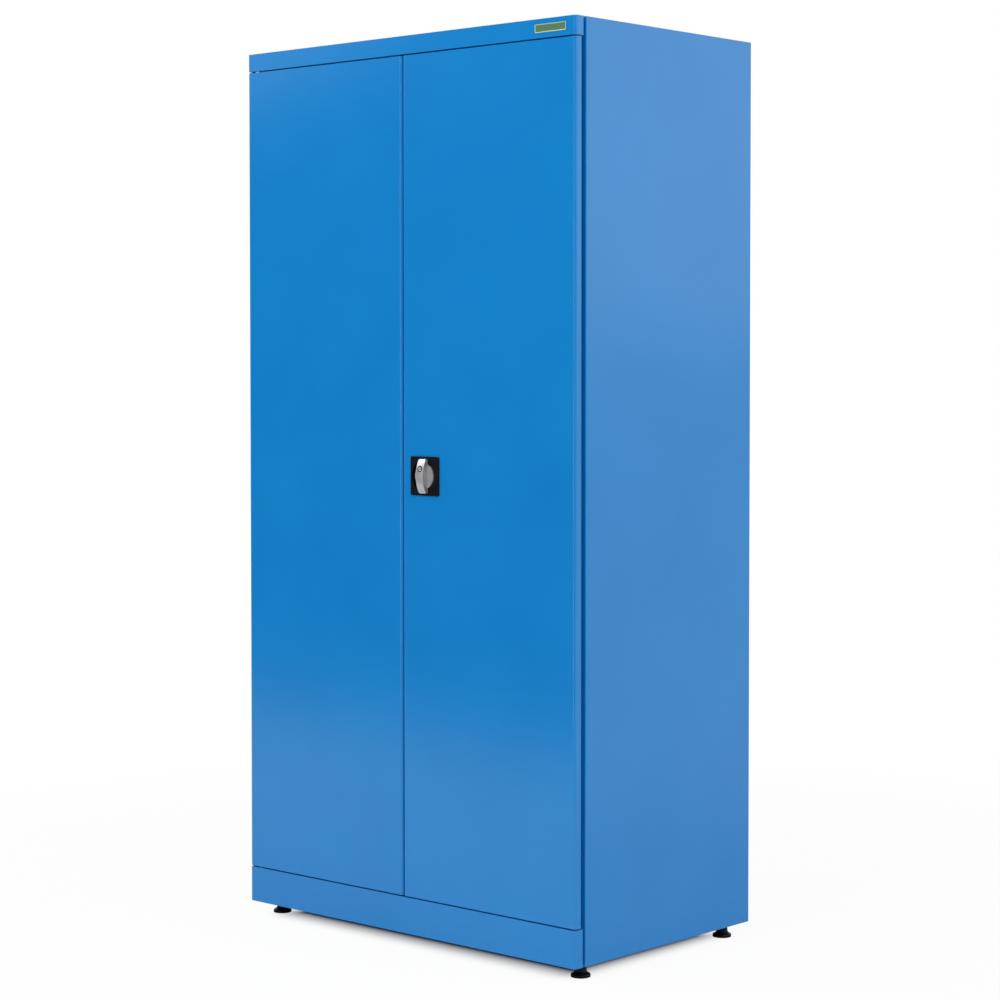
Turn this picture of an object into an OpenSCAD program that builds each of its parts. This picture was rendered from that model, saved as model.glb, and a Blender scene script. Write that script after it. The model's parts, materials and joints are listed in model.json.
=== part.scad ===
// Steel tool cabinet with two hinged doors, a rotary espagnolette lock and four shelves.
// Millimetres. X runs to the right, Y to the back, Z up from the floor under the feet.

/* [Cabinet] */
// Overall width, side panel to side panel
cab_w = 1000; // [900:10:1200]
// Overall depth, door front to back flange
cab_d = 600; // [500:10:700]
// Overall height, floor to top edge
cab_h = 2000; // [1800:25:2200]
// Thickness of the folded sheet of body and doors
sheet = 1.2; // [1:0.1:1.5]
// Radius of a tight fold, on the middle of the sheet
fold_r = 1.8; // [1.5:0.1:2.2]

/* [Front frame] */
// Height of the header above the doors
header_h = 40; // [36:1:60]
// Height of the plinth under the doors
plinth_h = 80; // [60:1:120]
// Depth from the front face back to the door frame
frame_set = 25.2; // [24.4:0.1:30]
// Depth from the front face back to the side panel
side_set = 32.5; // [31:0.5:40]
// How far the shadow groove goes in behind the side panel
groove_in = 12; // [9:0.5:14]
// Outer radius of the rounded upright edges
edge_r = 7; // [5:0.5:8]
// Width of the post beside the doors
post_w = 28; // [24:1:40]
// Depth of that post
post_d = 22; // [18:1:30]
// Overlap of the stop rails behind the door edges
stop_overlap = 20; // [16:1:30]
// Depth of the folds down from the roof and the floor
skirt = 25; // [18:1:40]
// Width of the folds at the back and foot of a side
side_flange = 25; // [20:1:27]

/* [Doors] */
// Depth of a door, front face to rear lip
door_t = 19.5; // [19:0.1:20.5]
// Gap round each door
door_gap = 3; // [2.8:0.1:4]
// How far a door's outer edge stays inside the side
door_inset = 0.5; // [0.3:0.1:1]
// Width of the rear lips of a door
lip_w = 15; // [12:1:18]
// Width of the upright stiffener in a door
rib_w = 60; // [40:5:90]
// Pivot distance in from the side of the cabinet
pivot_in = 10; // [9.5:0.1:10.5]
// Pivot distance back from the front face
pivot_back = 10; // [9.8:0.1:10.5]
// Diameter of a hinge pin
pin_d = 8; // [6:0.5:8]
// Wall of the plastic hinge bush
bush_wall = 2; // [1.5:0.25:2]
// Thickness of the flange of that bush
bush_flange = 1.4; // [1:0.1:1.5]
// Diameter of a rubber door buffer
buffer_d = 12; // [8:1:12]

/* [Lock] */
// Distance of the lock from the middle of the cabinet
lock_x = 70; // [66:1:90]
// Height of the lock above the floor
lock_z = 1042; // [950:1:1150]
// Side of the square lock plate
plate_w = 85; // [80:0.5:90]
// How far the lock plate stands out
plate_t = 2.5; // [2:0.1:3]
// Diameter of the round base of the handle
disc_d = 54; // [46:1:56]
// Height of that base above the plate
disc_t = 1.5; // [1:0.5:4]
// Length of the grip
grip_l = 75; // [68:1:77]
// Width of the grip
grip_w = 21; // [18:0.5:24]
// Height of the grip above the plate at its middle
grip_h = 16.5; // [16:0.5:24]
// Height of the grip above the plate at its ends
grip_end_h = 6.5; // [6:0.5:8]
// Distance of the key cylinder from the handle's axis
key_up = 16; // [14:0.5:18]
// Diameter of the key cylinder
key_d = 9; // [8:0.5:10]
// Diameter of the spindle
spindle_d = 10; // [8:0.5:11]
// Teeth on the drive pinion
teeth = 16; // [14:2:18]
// Module of the teeth
tooth_m = 1.25; // [1.25:0.05:1.4]
// Thickness of pinion and racks
rack_t = 8; // [6:0.5:8]
// Diameter of the lock rods and door bolts
rod_d = 8; // [7:0.5:8]
// Height of the lock case
case_h = 84; // [80:1:100]
// Thickness of the cam that reaches behind the other door
cam_t = 3; // [2:0.25:3]
// Width of that cam
cam_w = 18; // [14:1:20]

/* [Inside] */
// Number of shelves
shelves = 4; // [2:1:6]
// Depth of a shelf's folded rim
shelf_rim = 30; // [25:1:40]
// Depth of the slotted uprights
upright_t = 12; // [10:0.5:14]
// Width of the slotted uprights
upright_w = 40; // [34:1:50]
// Pitch of the slots
slot_pitch = 25; // [25:5:50]
// Height of a slot
slot_h = 14; // [12:1:16]
// Width of a slot
slot_w = 6; // [5:0.5:8]

/* [Feet] */
// Height of the body above the floor
foot_h = 32; // [30:1:50]
// Diameter of a foot's base
foot_d = 42; // [34:1:48]
// Diameter of a foot's neck
neck_d = 23; // [20:0.5:24]
// Diameter of the foot screw
stem_d = 10; // [8:1:12]
// Distance of a foot from the side of the cabinet
foot_in = 40; // [38:1:60]
// Distance of a front foot from the front face
foot_front = 64; // [62:1:90]
// Distance of a rear foot from the back
foot_back = 47; // [44:1:90]

/* [Hidden] */
$fn = 64;
run_fit = 0.05;
seat_gap = 0.1;
through = 1;
inner_r = fold_r - sheet / 2;
side_lip = 16;
post_lip = 8;
build_gap = 2;
floor_rail = 50;
half_w = cab_w / 2;
front = -cab_d / 2;
back = cab_d / 2;
base_z = foot_h;
frame_y = front + frame_set;
side_y = front + side_set;
header_z = cab_h - header_h;
plinth_z = base_z + plinth_h;
door_z0 = plinth_z + door_gap;
door_z1 = header_z - door_gap;
door_x0 = door_gap / 2;
door_x1 = half_w - door_inset;
door_back = front + door_t;
skin_back = front + sheet;
post_x = half_w - groove_in;
post_in = post_x - post_w;
post_back = frame_y + post_d;
side_lip_y = side_y + side_lip;
rail_z = header_z - stop_overlap;
floor_z = plinth_z + stop_overlap;
corner_y = max(post_back, side_lip_y) + build_gap;
panel_y = back - 2 * sheet;
roof_skirt = header_h + stop_overlap;
rivet_count = 8;
rivet_d = 4;
rivet_end = 60;
rivet_head = 1.4;
rivet_tail = 2;
rivet_x = half_w - side_flange / 2;
floor_skirt = stop_overlap + floor_rail;

pivot_x = half_w - pivot_in;
pivot_y = front + pivot_back;
bore_d = pin_d + 2 * run_fit;
bush_d = bore_d + 2 * bush_wall;
bush_flange_d = bush_d + 5;
bush_l = 12;
pin_l = 10;
pin_head = 3;
pin_head_d = pin_d + 6;
collar_d = pin_d + 5;
buffer_end = 115;
buffer_gap = 0.3;
rib_flange = 14;
rib_end = 40;

rod_back = 9.5;
rod_y = front + rod_back;
tip_l = 2;
tip_d = rod_d - 3;
rod_hole = rod_d + 2 * seat_gap;
pitch_r = teeth * tooth_m / 2;
tip_r = pitch_r + 0.9 * tooth_m;
root_r = pitch_r - 1.25 * tooth_m;
pressure = 20;
base_r = pitch_r * cos(pressure);
lash = 0.16;
rack_pitch = PI * tooth_m;
rack_top = 0.85 * tooth_m;
rack_root = 1.25 * tooth_m;
rack_bar = 7.4;
rack_step = 0.5;
rack_back = pitch_r + rack_root + rack_bar;
rod_off = rack_back - rod_d / 2 - rack_step;
rod_travel = pitch_r * PI / 2;
rack_teeth = 2 * ceil((rod_travel / rack_pitch + 4) / 2);
rack_low = rod_travel + 2.6 * rack_pitch;
rack_high = 2.6 * rack_pitch;
case_wall = 4;
case_floor = 1.5;
case_room = 2.5;
case_back = rod_y + rack_t / 2 + case_room;
case_half = rack_back + seat_gap + case_wall;
cover_back = case_back + case_floor;
hub_d = spindle_d + 4;
plate_face = front - plate_t;
recess_gap = 1.5;
recess_d = disc_d + 2 * recess_gap;
recess_depth = 1.5;
dish_rim = 4;
dish_d = min(grip_l, plate_w - 2 * dish_rim);
boss_d = 20;
collar_wall = 3.9;
fit_side = 0.1;
peg_d = 7;
peg_screw_d = 4;
peg_skin = recess_depth;
peg_gap = 3.5;
screw_z = (disc_d + peg_d) / 2 + peg_gap;
cover_screw_d = 2.5;
cover_screw_l = 6;
cover_screw_z = case_h / 2 - 6;
head_t = 1.2;
slit_w = 0.8;
slit_deep = 0.6;
cam_gap = 0.6;
cam_y = door_back + cam_gap;
cam_past = 12;
cam_l = lock_x + cam_past;
cam_screw_d = 11;
cam_screw_h = 4;
key_bore = key_d + 2 * run_fit;
key_ring_d = key_bore + 4.8;
key_depth = 12;
key_proud = 0.4;
key_sunk = 0.3;
plate_r = 4;
keyway_w = 0.72 * key_d;
keyway_h = 1.8;
keyway_l = 7;
grip_gap = 0.4;
grip_r = 4;
arch_rise = grip_h - grip_end_h;
arch_r = (grip_l * grip_l / 4 + arch_rise * arch_rise) / (2 * arch_rise);
arch_y = plate_face - grip_h + arch_r;
key_face = arch_y - sqrt(arch_r * arch_r - key_up * key_up) - key_proud;
bolt_x = 40;
bolt_l = 240;
bolt_guide_down = 150;
bolt_knob_down = 205;
knob_d = 6;
knob_l = 18;
guide_w = 20;
guide_h = 14;
guide_wall = 3;

upright_x = half_w - sheet - upright_t;
upright_end = 42;
upright_flange = 10;
upright_f = corner_y + upright_end;
upright_r = panel_y - upright_end;
upright_gap = 10;
upright_h = rail_z - floor_z - upright_gap;
slot_end = 30;
slots = floor((upright_h - 2 * slot_end) / slot_pitch) + 1;
slot_first = floor_z + slot_end;
shelf_t = 1;
shelf_lip = 14;
shelf_rib = 25;
shelf_rib_h = 18;
shelf_rib_flange = 17;
shelf_gap = 4;
shelf_x = upright_x - shelf_gap;
shelf_front = corner_y + shelf_gap;
shelf_back = panel_y - shelf_gap;
clip_t = 1.5;
clip_w = 20;
clip_in = 24;
clip_up = 18;
clip_down = 4;
hook_w = 4;
hook_h = 8;
hook_l = 7;
room = rail_z - floor_z;
shelf_step = slot_pitch * round(room / (shelves + 1) / slot_pitch);

foot_x = half_w - foot_in;
bracket_t = 3;
bracket_l = 50;
bracket_h = 50;
bracket_near = neck_d / 2 + 1;
bracket_far = 30;
bracket_z = base_z + sheet;
foot_f = max(front + foot_front, corner_y + bracket_near + 1);
foot_r = back - foot_back;
nut_h = 8;
nut_d = 1.96 * stem_d;
stem_up = 42;
stem_top = bracket_z + bracket_t + nut_h + stem_up;
stem_end = 1;
socket_w = 0.58 * stem_d;
socket_l = 5;
rim_h = 6;
rim_r = 1.5;
stem_bore = stem_d + 2 * run_fit;
stem_sunk = 25;

name_w = 85;
name_h = 17.5;
name_right = 27;
name_down = 11;
name_t = 1;
name_r = 2;
name_rim = 1.3;
name_sunk = 0.4;

body_blue = [0.08, 0.45, 0.75];
side_blue = [0.24, 0.53, 0.78];
steel = [0.72, 0.73, 0.75];
black = [0.08, 0.08, 0.09];
silver = [0.78, 0.78, 0.8];

// Small helpers

function unit(v) = v / norm(v);
function bend_of(r, i, n) = i == 0 || i == n - 1 ? 0 : is_list(r) ? r[i - 1] : r;

// A folded sheet seen along its folds: flats between the corners and a true arc at each one
module folded(path, r, t = sheet) {
    n = len(path);
    for (i = [0 : n - 2]) {
        run = path[i + 1] - path[i];
        from = bend_of(r, i, n);
        to = bend_of(r, i + 1, n);
        translate(path[i] + from * unit(run))
            rotate(atan2(run.y, run.x))
                translate([0, -t / 2]) square([norm(run) - from - to, t]);
    }
    for (i = [1 : n - 2]) {
        before = unit(path[i - 1] - path[i]);
        after = unit(path[i + 1] - path[i]);
        c = bend_of(r, i, n);
        far = 2 * c + t;
        translate(path[i] + c * (before + after))
            intersection() {
                difference() {
                    circle(c + t / 2);
                    circle(c - t / 2);
                }
                polygon([[0, 0], -far * before, -far * (before + after), -far * after]);
            }
    }
}

// A quarter of a disc whose square corner is at the centre
module quarter(r, turn) {
    rotate(turn) intersection() {
        circle(r);
        square(r + through);
    }
}

// Filled plan of a door, header or plinth: two round front corners, square behind
module front_plan(x0, x1, y1) {
    translate([x0, front + edge_r]) square([x1 - x0, y1 - front - edge_r]);
    translate([x0 + edge_r, front]) square([x1 - x0 - 2 * edge_r, edge_r]);
    translate([x0 + edge_r, front + edge_r]) quarter(edge_r, 180);
    translate([x1 - edge_r, front + edge_r]) quarter(edge_r, 270);
}

// A rectangle about the origin with four round corners
module rounded(w, h, r) {
    translate([-w / 2, r - h / 2]) square([w, h - 2 * r]);
    for (s = [-1, 1])
        translate([r - w / 2, s < 0 ? -h / 2 : h / 2 - r]) square([w - 2 * r, r]);
    translate([r - w / 2, r - h / 2]) quarter(r, 180);
    translate([w / 2 - r, r - h / 2]) quarter(r, 270);
    translate([w / 2 - r, h / 2 - r]) quarter(r, 0);
    translate([r - w / 2, h / 2 - r]) quarter(r, 90);
}

// Copies on both sides of the middle plane
module both_sides() {
    children();
    mirror([1, 0, 0]) children();
}

// A cylinder along Y, from the front y0 to the rear y1
module bar_y(x, z, y0, y1, d) {
    translate([x, y1, z]) rotate([90, 0, 0]) cylinder(d = d, h = y1 - y0);
}

// A flat shape drawn in the X-Z plane, thick from y0 to y1
module plate_y(x, z, y0, y1) {
    translate([x, y1, z]) rotate([90, 0, 0]) linear_extrude(y1 - y0) children();
}

// Body of the cabinet

function rivet_z(i) = base_z + rivet_end
    + i * (cab_h - base_z - 2 * rivet_end) / (rivet_count - 1);

module rivet_holes() {
    for (i = [0 : rivet_count - 1])
        bar_y(rivet_x, rivet_z(i), panel_y - through, back + through, rivet_d);
}

// Right-hand side: wall, rear fold, front fold and the lip on the post, with a fold at the foot
module side_panel() {
    difference() {
        union() {
            translate([0, 0, base_z]) linear_extrude(cab_h - base_z)
                folded([
                    [half_w - side_flange, back - sheet / 2],
                    [half_w - sheet / 2, back - sheet / 2],
                    [half_w - sheet / 2, side_y + sheet / 2],
                    [post_x + sheet / 2, side_y + sheet / 2],
                    [post_x + sheet / 2, side_lip_y]
                ], fold_r);
            translate([half_w - side_flange, corner_y, base_z])
                cube([side_flange - sheet, panel_y - corner_y, sheet]);
        }
        rivet_holes();
        translate([0, side_y - through, cab_h - sheet])
            cube([half_w - sheet, corner_y - side_y, sheet + through]);
    }
}

module left_side() {
    color(side_blue) mirror([1, 0, 0]) side_panel();
}

module right_side() {
    color(side_blue) side_panel();
}

// Right-hand post: a C section open to the back, whose front face carries header and plinth
module post() {
    translate([0, 0, base_z]) linear_extrude(cab_h - sheet - base_z)
        folded([
            [post_x - post_lip, post_back - sheet / 2],
            [post_x - sheet / 2, post_back - sheet / 2],
            [post_x - sheet / 2, frame_y + sheet / 2],
            [post_in + sheet / 2, frame_y + sheet / 2],
            [post_in + sheet / 2, post_back - sheet / 2],
            [post_in + post_lip, post_back - sheet / 2]
        ], fold_r);
}

module left_post() {
    color(body_blue) mirror([1, 0, 0]) post();
}

module right_post() {
    color(body_blue) post();
}

module back_panel() {
    color(side_blue) difference() {
        translate([sheet + inner_r - half_w, panel_y, base_z])
            cube([cab_w - 2 * (sheet + inner_r), sheet, cab_h - base_z]);
        both_sides() rivet_holes();
    }
}

module back_rivets() {
    color(steel) both_sides() for (i = [0 : rivet_count - 1]) {
        bar_y(rivet_x, rivet_z(i), panel_y, back, rivet_d);
        bar_y(rivet_x, rivet_z(i), back, back + rivet_head, 2 * rivet_d);
        bar_y(rivet_x, rivet_z(i), panel_y - rivet_tail, panel_y, 1.5 * rivet_d);
    }
}

// A level sheet at the top or the floor, cut back in front of cut_y, with its rail and skirts
module tray(top, rail_h, cut_in, cut_y) {
    wide = half_w - sheet;
    translate([-wide, cut_y, top - sheet]) cube([2 * wide, panel_y - cut_y, sheet]);
    translate([-cut_in, frame_y, top - sheet]) cube([2 * cut_in, cut_y - frame_y, sheet]);
    translate([-post_in, frame_y, top - rail_h]) cube([2 * post_in, sheet, rail_h - sheet]);
    translate([skirt - half_w, panel_y - sheet, top - skirt])
        cube([cab_w - 2 * skirt, sheet, skirt - sheet]);
    both_sides()
        translate([wide - sheet, corner_y, top - skirt])
            cube([sheet, panel_y - corner_y - skirt, skirt - sheet]);
}

module roof_panel() {
    color(side_blue) tray(cab_h, roof_skirt, post_x, side_y);
}

module floor_panel() {
    color(body_blue) tray(floor_z, floor_skirt, post_in, corner_y);
}

// Header or plinth: a front with rounded ends, closed above and below, on lips behind its ends
module fascia(z0, h) {
    lip_in = groove_in + post_w / 2;
    translate([0, 0, z0 + sheet]) linear_extrude(h - 2 * sheet)
        folded([
            [half_w - lip_in, frame_y - sheet / 2],
            [half_w - sheet / 2, frame_y - sheet / 2],
            [half_w - sheet / 2, front + sheet / 2],
            [sheet / 2 - half_w, front + sheet / 2],
            [sheet / 2 - half_w, frame_y - sheet / 2],
            [lip_in - half_w, frame_y - sheet / 2]
        ], [fold_r, edge_r - sheet / 2, edge_r - sheet / 2, fold_r]);
    for (z = [z0, z0 + h - sheet])
        translate([0, 0, z]) linear_extrude(sheet) front_plan(-half_w, half_w, frame_y);
}

// Holes for the hinge pins and for the rod and bolt tips, in the edge next to the doors
module frame_holes(z, rod_x) {
    both_sides()
        translate([pivot_x, pivot_y, z - through]) cylinder(d = pin_d, h = sheet + 2 * through);
    for (x = [rod_x, -bolt_x])
        translate([x, rod_y, z - through]) cylinder(d = rod_d + 2, h = sheet + 2 * through);
}

module header() {
    color(body_blue) difference() {
        fascia(header_z, header_h);
        frame_holes(header_z, lock_x + rod_off);
    }
}

module plinth() {
    color(body_blue) difference() {
        fascia(base_z, plinth_h);
        frame_holes(plinth_z - sheet, lock_x - rod_off);
    }
}

// A blank plate with a raised rim
module nameplate() {
    x = half_w - name_right - name_w / 2;
    z = cab_h - name_down - name_h / 2;
    color([0.3, 0.6, 0.15]) difference() {
        plate_y(x, z, front - name_t, front) rounded(name_w, name_h, name_r);
        plate_y(x, z, front - name_t - through, front - name_t + name_sunk)
            rounded(name_w - 2 * name_rim, name_h - 2 * name_rim, name_r - name_rim);
    }
}

// Feet

module at_feet() {
    both_sides() {
        translate([foot_x, foot_f, 0]) children();
        translate([foot_x, foot_r, 0]) mirror([0, 1, 0]) children();
    }
}

module foot_brackets() {
    reach = half_w - sheet - foot_x;
    color(steel) at_feet() difference() {
        union() {
            translate([-bracket_far, -bracket_near, bracket_z])
                cube([reach + bracket_far, bracket_l, bracket_t]);
            translate([reach - bracket_t, -bracket_near, bracket_z])
                cube([bracket_t, bracket_l, bracket_h]);
        }
        cylinder(d = stem_bore, h = bracket_z + bracket_t + through);
    }
}

module foot_nuts() {
    color(steel) at_feet() translate([0, 0, bracket_z + bracket_t]) difference() {
        cylinder(d = nut_d, h = nut_h, $fn = 6);
        translate([0, 0, -through]) cylinder(d = stem_bore, h = nut_h + 2 * through);
    }
}

// A levelling foot: turned base, hollow flare and straight neck, with a blind hole for its screw
module foot() {
    r = foot_d / 2;
    n = neck_d / 2;
    flare = (r - n) / 2;
    hollow = flare + rim_r;
    difference() {
        rotate_extrude() difference() {
            polygon([
                [0, 0], [r - 1, 0], [r, 1], [r, rim_h - rim_r], [r - rim_r, rim_h],
                [n, rim_h + flare], [n, bracket_z], [0, bracket_z]
            ]);
            translate([n + hollow, rim_h + hollow]) circle(hollow - 0.3);
        }
        translate([0, 0, bracket_z - stem_sunk]) cylinder(d = stem_d, h = stem_sunk + through);
    }
}

// A foot screw, from inside the neck up to its hexagon socket
module stem() {
    difference() {
        union() {
            translate([0, 0, bracket_z - stem_sunk])
                cylinder(d = stem_d, h = stem_top - bracket_z + stem_sunk - stem_end);
            translate([0, 0, stem_top - stem_end])
                cylinder(d1 = stem_d, d2 = stem_d - 2 * stem_end, h = stem_end);
        }
        translate([0, 0, stem_top - socket_l])
            cylinder(d = socket_w, h = socket_l + through, $fn = 6);
    }
}

module foot_front_left() {
    color(black) translate([-foot_x, foot_f, 0]) foot();
}

module foot_front_right() {
    color(black) translate([foot_x, foot_f, 0]) foot();
}

module foot_rear_left() {
    color(black) translate([-foot_x, foot_r, 0]) foot();
}

module foot_rear_right() {
    color(black) translate([foot_x, foot_r, 0]) foot();
}

module stem_front_left() {
    color(steel) translate([-foot_x, foot_f, 0]) stem();
}

module stem_front_right() {
    color(steel) translate([foot_x, foot_f, 0]) stem();
}

module stem_rear_left() {
    color(steel) translate([-foot_x, foot_r, 0]) stem();
}

module stem_rear_right() {
    color(steel) translate([foot_x, foot_r, 0]) stem();
}

// Inside: slotted uprights, shelves and their clips

// An upright on the right-hand wall, hat-shaped in plan, with one row of slots
module upright(y) {
    wall_x = half_w - sheet * 1.5;
    web_x = upright_x + sheet / 2;
    h = upright_w / 2;
    difference() {
        translate([0, y, floor_z]) linear_extrude(upright_h)
            folded([
                [wall_x, -h - upright_flange], [wall_x, -h], [web_x, -h],
                [web_x, h], [wall_x, h], [wall_x, h + upright_flange]
            ], fold_r);
        for (i = [0 : slots - 1])
            translate([upright_x - through, y - slot_w / 2, slot_first + i * slot_pitch - slot_h / 2])
                cube([sheet + 2 * through, slot_w, slot_h]);
    }
}

module upright_left_front() {
    color(steel) mirror([1, 0, 0]) upright(upright_f);
}

module upright_left_rear() {
    color(steel) mirror([1, 0, 0]) upright(upright_r);
}

module upright_right_front() {
    color(steel) upright(upright_f);
}

module upright_right_rear() {
    color(steel) upright(upright_r);
}

// A clip stands in the slot nearest below the level that its shelf wants
function clip_slot(i) = slot_first - slot_h / 2
    + slot_pitch * floor((i * shelf_step - shelf_rim - slot_end) / slot_pitch);
function ledge_z(i) = clip_slot(i) + clip_up;
function shelf_z(i) = ledge_z(i) + shelf_rim;

// A clip on the right-hand upright: ledge, back plate and a hook down behind the web
module clip(y, z) {
    translate([upright_x - clip_in, y - clip_w / 2, z + clip_up - clip_t])
        cube([clip_in, clip_w, clip_t]);
    translate([upright_x - clip_t, y - clip_w / 2, z - clip_down])
        cube([clip_t, clip_w, clip_up + clip_down - clip_t]);
    translate([upright_x, y - hook_w / 2, z]) cube([sheet + clip_t, hook_w, hook_h]);
    translate([upright_x + sheet, y - hook_w / 2, z - hook_l]) cube([clip_t, hook_w, hook_l]);
}

module shelf_clips() {
    color(steel) both_sides()
        for (i = [1 : shelves], y = [upright_f, upright_r]) clip(y, clip_slot(i));
}

// A shelf: top sheet, four rims with lips turned in, and a hat rib across below it
module shelf(i) {
    t = shelf_t;
    w = 2 * shelf_x;
    d = shelf_back - shelf_front;
    mid = (shelf_front + shelf_back) / 2;
    top = shelf_z(i) - t;
    low = shelf_z(i) - shelf_rim;
    if (i <= shelves) color(side_blue) {
        translate([-shelf_x, shelf_front, top]) cube([w, d, t]);
        for (s = [-1, 1]) {
            translate([s < 0 ? -shelf_x : shelf_x - t, shelf_front, low + t])
                cube([t, d, shelf_rim - 2 * t]);
            translate([s < 0 ? -shelf_x : shelf_x - shelf_lip, shelf_front, low])
                cube([shelf_lip, d, t]);
            translate([t - shelf_x, s < 0 ? shelf_front : shelf_back - t, low + t])
                cube([w - 2 * t, t, shelf_rim - 2 * t]);
            translate([shelf_lip - shelf_x, s < 0 ? shelf_front : shelf_back - shelf_lip, low])
                cube([w - 2 * shelf_lip, shelf_lip, t]);
        }
        translate([t - shelf_x, mid, top]) rotate([90, 0, 90])
            linear_extrude(w - 2 * t)
                folded([
                    [-shelf_rib - shelf_rib_flange, -t / 2], [-shelf_rib, -t / 2],
                    [-shelf_rib, -shelf_rib_h], [shelf_rib, -shelf_rib_h],
                    [shelf_rib, -t / 2], [shelf_rib + shelf_rib_flange, -t / 2]
                ], fold_r, t);
    }
}

module shelf_1() {
    shelf(1);
}

module shelf_2() {
    shelf(2);
}

module shelf_3() {
    shelf(3);
}

module shelf_4() {
    shelf(4);
}

module shelf_5() {
    shelf(5);
}

module shelf_6() {
    shelf(6);
}

// Hinges and buffers

module hinge_pins() {
    collar = door_gap - bush_flange - seat_gap;
    color(steel) both_sides() translate([pivot_x, pivot_y, 0]) {
        translate([0, 0, header_z + sheet]) cylinder(d = pin_head_d, h = pin_head);
        translate([0, 0, door_z1 - pin_l]) cylinder(d = pin_d, h = pin_l + door_gap + sheet);
        translate([0, 0, plinth_z - sheet - pin_head]) cylinder(d = pin_head_d, h = pin_head);
        translate([0, 0, plinth_z - sheet]) cylinder(d = pin_d, h = pin_l + door_gap + sheet);
        translate([0, 0, plinth_z]) cylinder(d = collar_d, h = collar);
    }
}

// A flanged bush for the lower corner of the right-hand door, flange down
module bush() {
    difference() {
        union() {
            translate([0, 0, -bush_flange]) cylinder(d = bush_flange_d, h = bush_flange);
            cylinder(d = bush_d, h = bush_l);
        }
        translate([0, 0, -bush_flange - through])
            cylinder(d = bore_d, h = bush_l + bush_flange + 2 * through);
    }
}

module bushes() {
    translate([pivot_x, pivot_y, door_z0]) bush();
    translate([pivot_x, pivot_y, door_z1]) mirror([0, 0, 1]) bush();
}

module left_bushes() {
    color(black) mirror([1, 0, 0]) bushes();
}

module right_bushes() {
    color(black) bushes();
}

module door_buffers() {
    color(black) both_sides()
        for (x = [buffer_end, half_w - buffer_end], z = [door_z0 + lip_w / 2, door_z1 - lip_w / 2])
            bar_y(x, z, door_back + buffer_gap, frame_y, min(buffer_d, 2 * stop_overlap - lip_w));
}

// Doors

// Right-hand door tray, before its lock holes
module door_tray() {
    y = door_back - sheet / 2;
    difference() {
        union() {
            translate([0, 0, door_z0 + sheet]) linear_extrude(door_z1 - door_z0 - 2 * sheet)
                folded([
                    [door_x1 - lip_w, y],
                    [door_x1 - sheet / 2, y],
                    [door_x1 - sheet / 2, front + sheet / 2],
                    [door_x0 + sheet / 2, front + sheet / 2],
                    [door_x0 + sheet / 2, y],
                    [door_x0 + lip_w, y]
                ], [fold_r, edge_r - sheet / 2, edge_r - sheet / 2, fold_r]);
            for (z = [door_z0, door_z1 - sheet])
                translate([0, 0, z]) linear_extrude(sheet)
                    front_plan(door_x0, door_x1, door_back);
            for (z = [door_z0 + sheet, door_z1 - lip_w])
                translate([door_x0 + lip_w, door_back - sheet, z])
                    cube([door_x1 - door_x0 - 2 * lip_w, sheet, lip_w - sheet]);
        }
        for (z = [door_z0, door_z1 - sheet])
            translate([pivot_x, pivot_y, z - through])
                cylinder(d = bush_d, h = sheet + 2 * through);
    }
}

// A rod hole through the top or bottom edge of a door
module edge_hole(x, z) {
    translate([x, rod_y, z - through]) cylinder(d = rod_hole, h = sheet + 2 * through);
}

module left_door() {
    color(body_blue) difference() {
        mirror([1, 0, 0]) door_tray();
        edge_hole(-bolt_x, door_z0);
        edge_hole(-bolt_x, door_z1 - sheet);
    }
}

module right_door() {
    color(body_blue) difference() {
        door_tray();
        edge_hole(lock_x + rod_off, door_z1 - sheet);
        edge_hole(lock_x - rod_off, door_z0);
        bar_y(lock_x, lock_z, front - through, skin_back + through,
            boss_d + 2 * (collar_wall + fit_side));
        for (s = [-1, 1])
            bar_y(lock_x, lock_z + s * screw_z, front - through, skin_back + through,
                peg_d + 2 * fit_side);
    }
}

// A hat-shaped stiffener on the inside of the right-hand door
module stiffener() {
    mid = (door_x0 + door_x1) / 2;
    w = rib_w / 2;
    y0 = skin_back + sheet / 2;
    y1 = door_back - sheet * 1.5;
    translate([mid, 0, door_z0 + rib_end]) linear_extrude(door_z1 - door_z0 - 2 * rib_end)
        folded([
            [-w - rib_flange, y0], [-w, y0], [-w, y1], [w, y1], [w, y0], [w + rib_flange, y0]
        ], fold_r);
}

module left_stiffener() {
    color(body_blue) mirror([1, 0, 0]) stiffener();
}

module right_stiffener() {
    color(body_blue) stiffener();
}

// Rods, bolts and their guides

// A block on the inside of a door front, with a bore for a rod
module guide(x, z) {
    difference() {
        translate([x - guide_w / 2, skin_back, z - guide_h / 2])
            cube([guide_w, rod_back + rod_d / 2 + guide_wall - sheet, guide_h]);
        translate([x, rod_y, z - guide_h / 2 - through])
            cylinder(d = rod_hole, h = guide_h + 2 * through);
    }
}

module left_bolt_guides() {
    color(steel) {
        guide(-bolt_x, door_z1 - bolt_guide_down);
        guide(-bolt_x, door_z0 + bolt_guide_down);
    }
}

module rod_guides() {
    color(black) {
        guide(lock_x + rod_off, (lock_z + door_z1) / 2);
        guide(lock_x - rod_off, (lock_z + door_z0) / 2);
    }
}

// A hand bolt, from its tip at the height 0 downwards, with a finger pin to the back
module hand_bolt() {
    translate([0, 0, -bolt_l]) cylinder(d = rod_d, h = bolt_l - tip_l);
    translate([0, 0, -tip_l]) cylinder(d1 = rod_d, d2 = tip_d, h = tip_l);
    translate([0, knob_l, -bolt_knob_down]) rotate([90, 0, 0]) cylinder(d = knob_d, h = knob_l);
}

module left_top_bolt() {
    color(steel) translate([-bolt_x, rod_y, door_z1]) hand_bolt();
}

module left_bottom_bolt() {
    color(steel) translate([-bolt_x, rod_y, door_z0]) mirror([0, 0, 1]) hand_bolt();
}

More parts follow.
